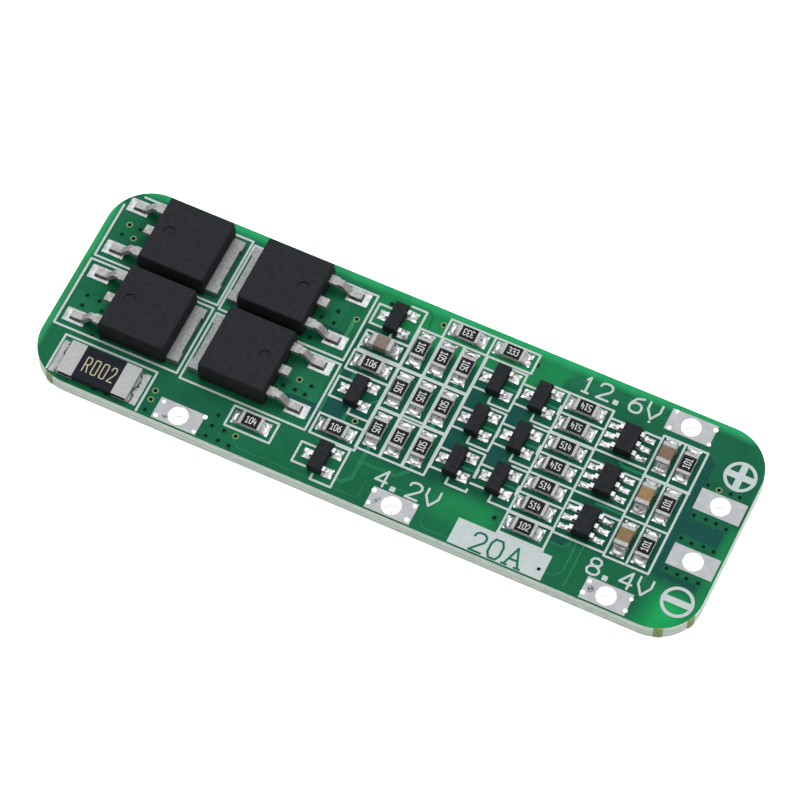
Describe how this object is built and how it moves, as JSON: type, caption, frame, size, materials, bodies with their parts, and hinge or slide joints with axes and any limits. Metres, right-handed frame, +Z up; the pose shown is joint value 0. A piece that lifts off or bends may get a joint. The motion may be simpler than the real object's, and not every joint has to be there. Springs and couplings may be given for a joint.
{
  "type": "battery management board",
  "caption": "Long rounded circuit board with power transistors, a current shunt and rows of chip parts on one face, and tinned wire-terminal lands with plated holes at its edges",
  "frame": {"origin": "centre of the board's underside", "axes": "+X along the board to the pack terminals, +Y across it to the edge with the 12.6 V land, +Z up to the component side"},
  "size_m": [0.0604, 0.02, 0.0039],
  "materials": {
    "board_laminate": "green solder mask over glass-epoxy laminate",
    "tinned_copper": "matte tin over copper",
    "solder": "bright reflowed solder",
    "moulded_epoxy": "fine matte black moulding",
    "resistor_glaze": "black glaze on white ceramic",
    "capacitor_ceramic": "fired tan ceramic"
  },
  "bodies": {
    "root": {"circuit_board": "board_laminate", "terminal_lands": "tinned_copper", "component_pads": "tinned_copper", "solder_fillets": "solder", "power_transistor_1": "moulded_epoxy", "power_leads_1": "tinned_copper", "power_transistor_2": "moulded_epoxy", "power_leads_2": "tinned_copper", "power_transistor_3": "moulded_epoxy", "power_leads_3": "tinned_copper", "power_transistor_4": "moulded_epoxy", "power_leads_4": "tinned_copper", "shunt_element": "resistor_glaze", "shunt_terminals": "tinned_copper", "resistor_01": "resistor_glaze", "resistor_02": "resistor_glaze", "resistor_03": "resistor_glaze", "resistor_04": "resistor_glaze", "resistor_05": "resistor_glaze", "resistor_06": "resistor_glaze", "resistor_07": "resistor_glaze", "resistor_08": "resistor_glaze", "resistor_09": "resistor_glaze", "resistor_10": "resistor_glaze", "resistor_11": "resistor_glaze", "resistor_12": "resistor_glaze", "resistor_13": "resistor_glaze", "resistor_14": "resistor_glaze", "resistor_15": "resistor_glaze", "resistor_16": "resistor_glaze", "resistor_17": "resistor_glaze", "resistor_18": "resistor_glaze", "resistor_19": "resistor_glaze", "resistor_20": "resistor_glaze", "resistor_21": "resistor_glaze", "resistor_22": "resistor_glaze", "resistor_23": "resistor_glaze", "resistor_24": "resistor_glaze", "resistor_end_caps": "tinned_copper", "capacitor_1": "capacitor_ceramic", "capacitor_2": "capacitor_ceramic", "capacitor_3": "capacitor_ceramic", "capacitor_4": "capacitor_ceramic", "capacitor_end_caps": "tinned_copper", "transistor_1": "moulded_epoxy", "transistor_2": "moulded_epoxy", "transistor_3": "moulded_epoxy", "transistor_4": "moulded_epoxy", "transistor_5": "moulded_epoxy", "transistor_6": "moulded_epoxy", "transistor_7": "moulded_epoxy", "transistor_8": "moulded_epoxy", "transistor_9": "moulded_epoxy", "transistor_leads": "tinned_copper", "cell_monitor_1": "moulded_epoxy", "cell_monitor_2": "moulded_epoxy", "cell_monitor_3": "moulded_epoxy", "cell_monitor_leads": "tinned_copper"}
  },
  "joints": []
}
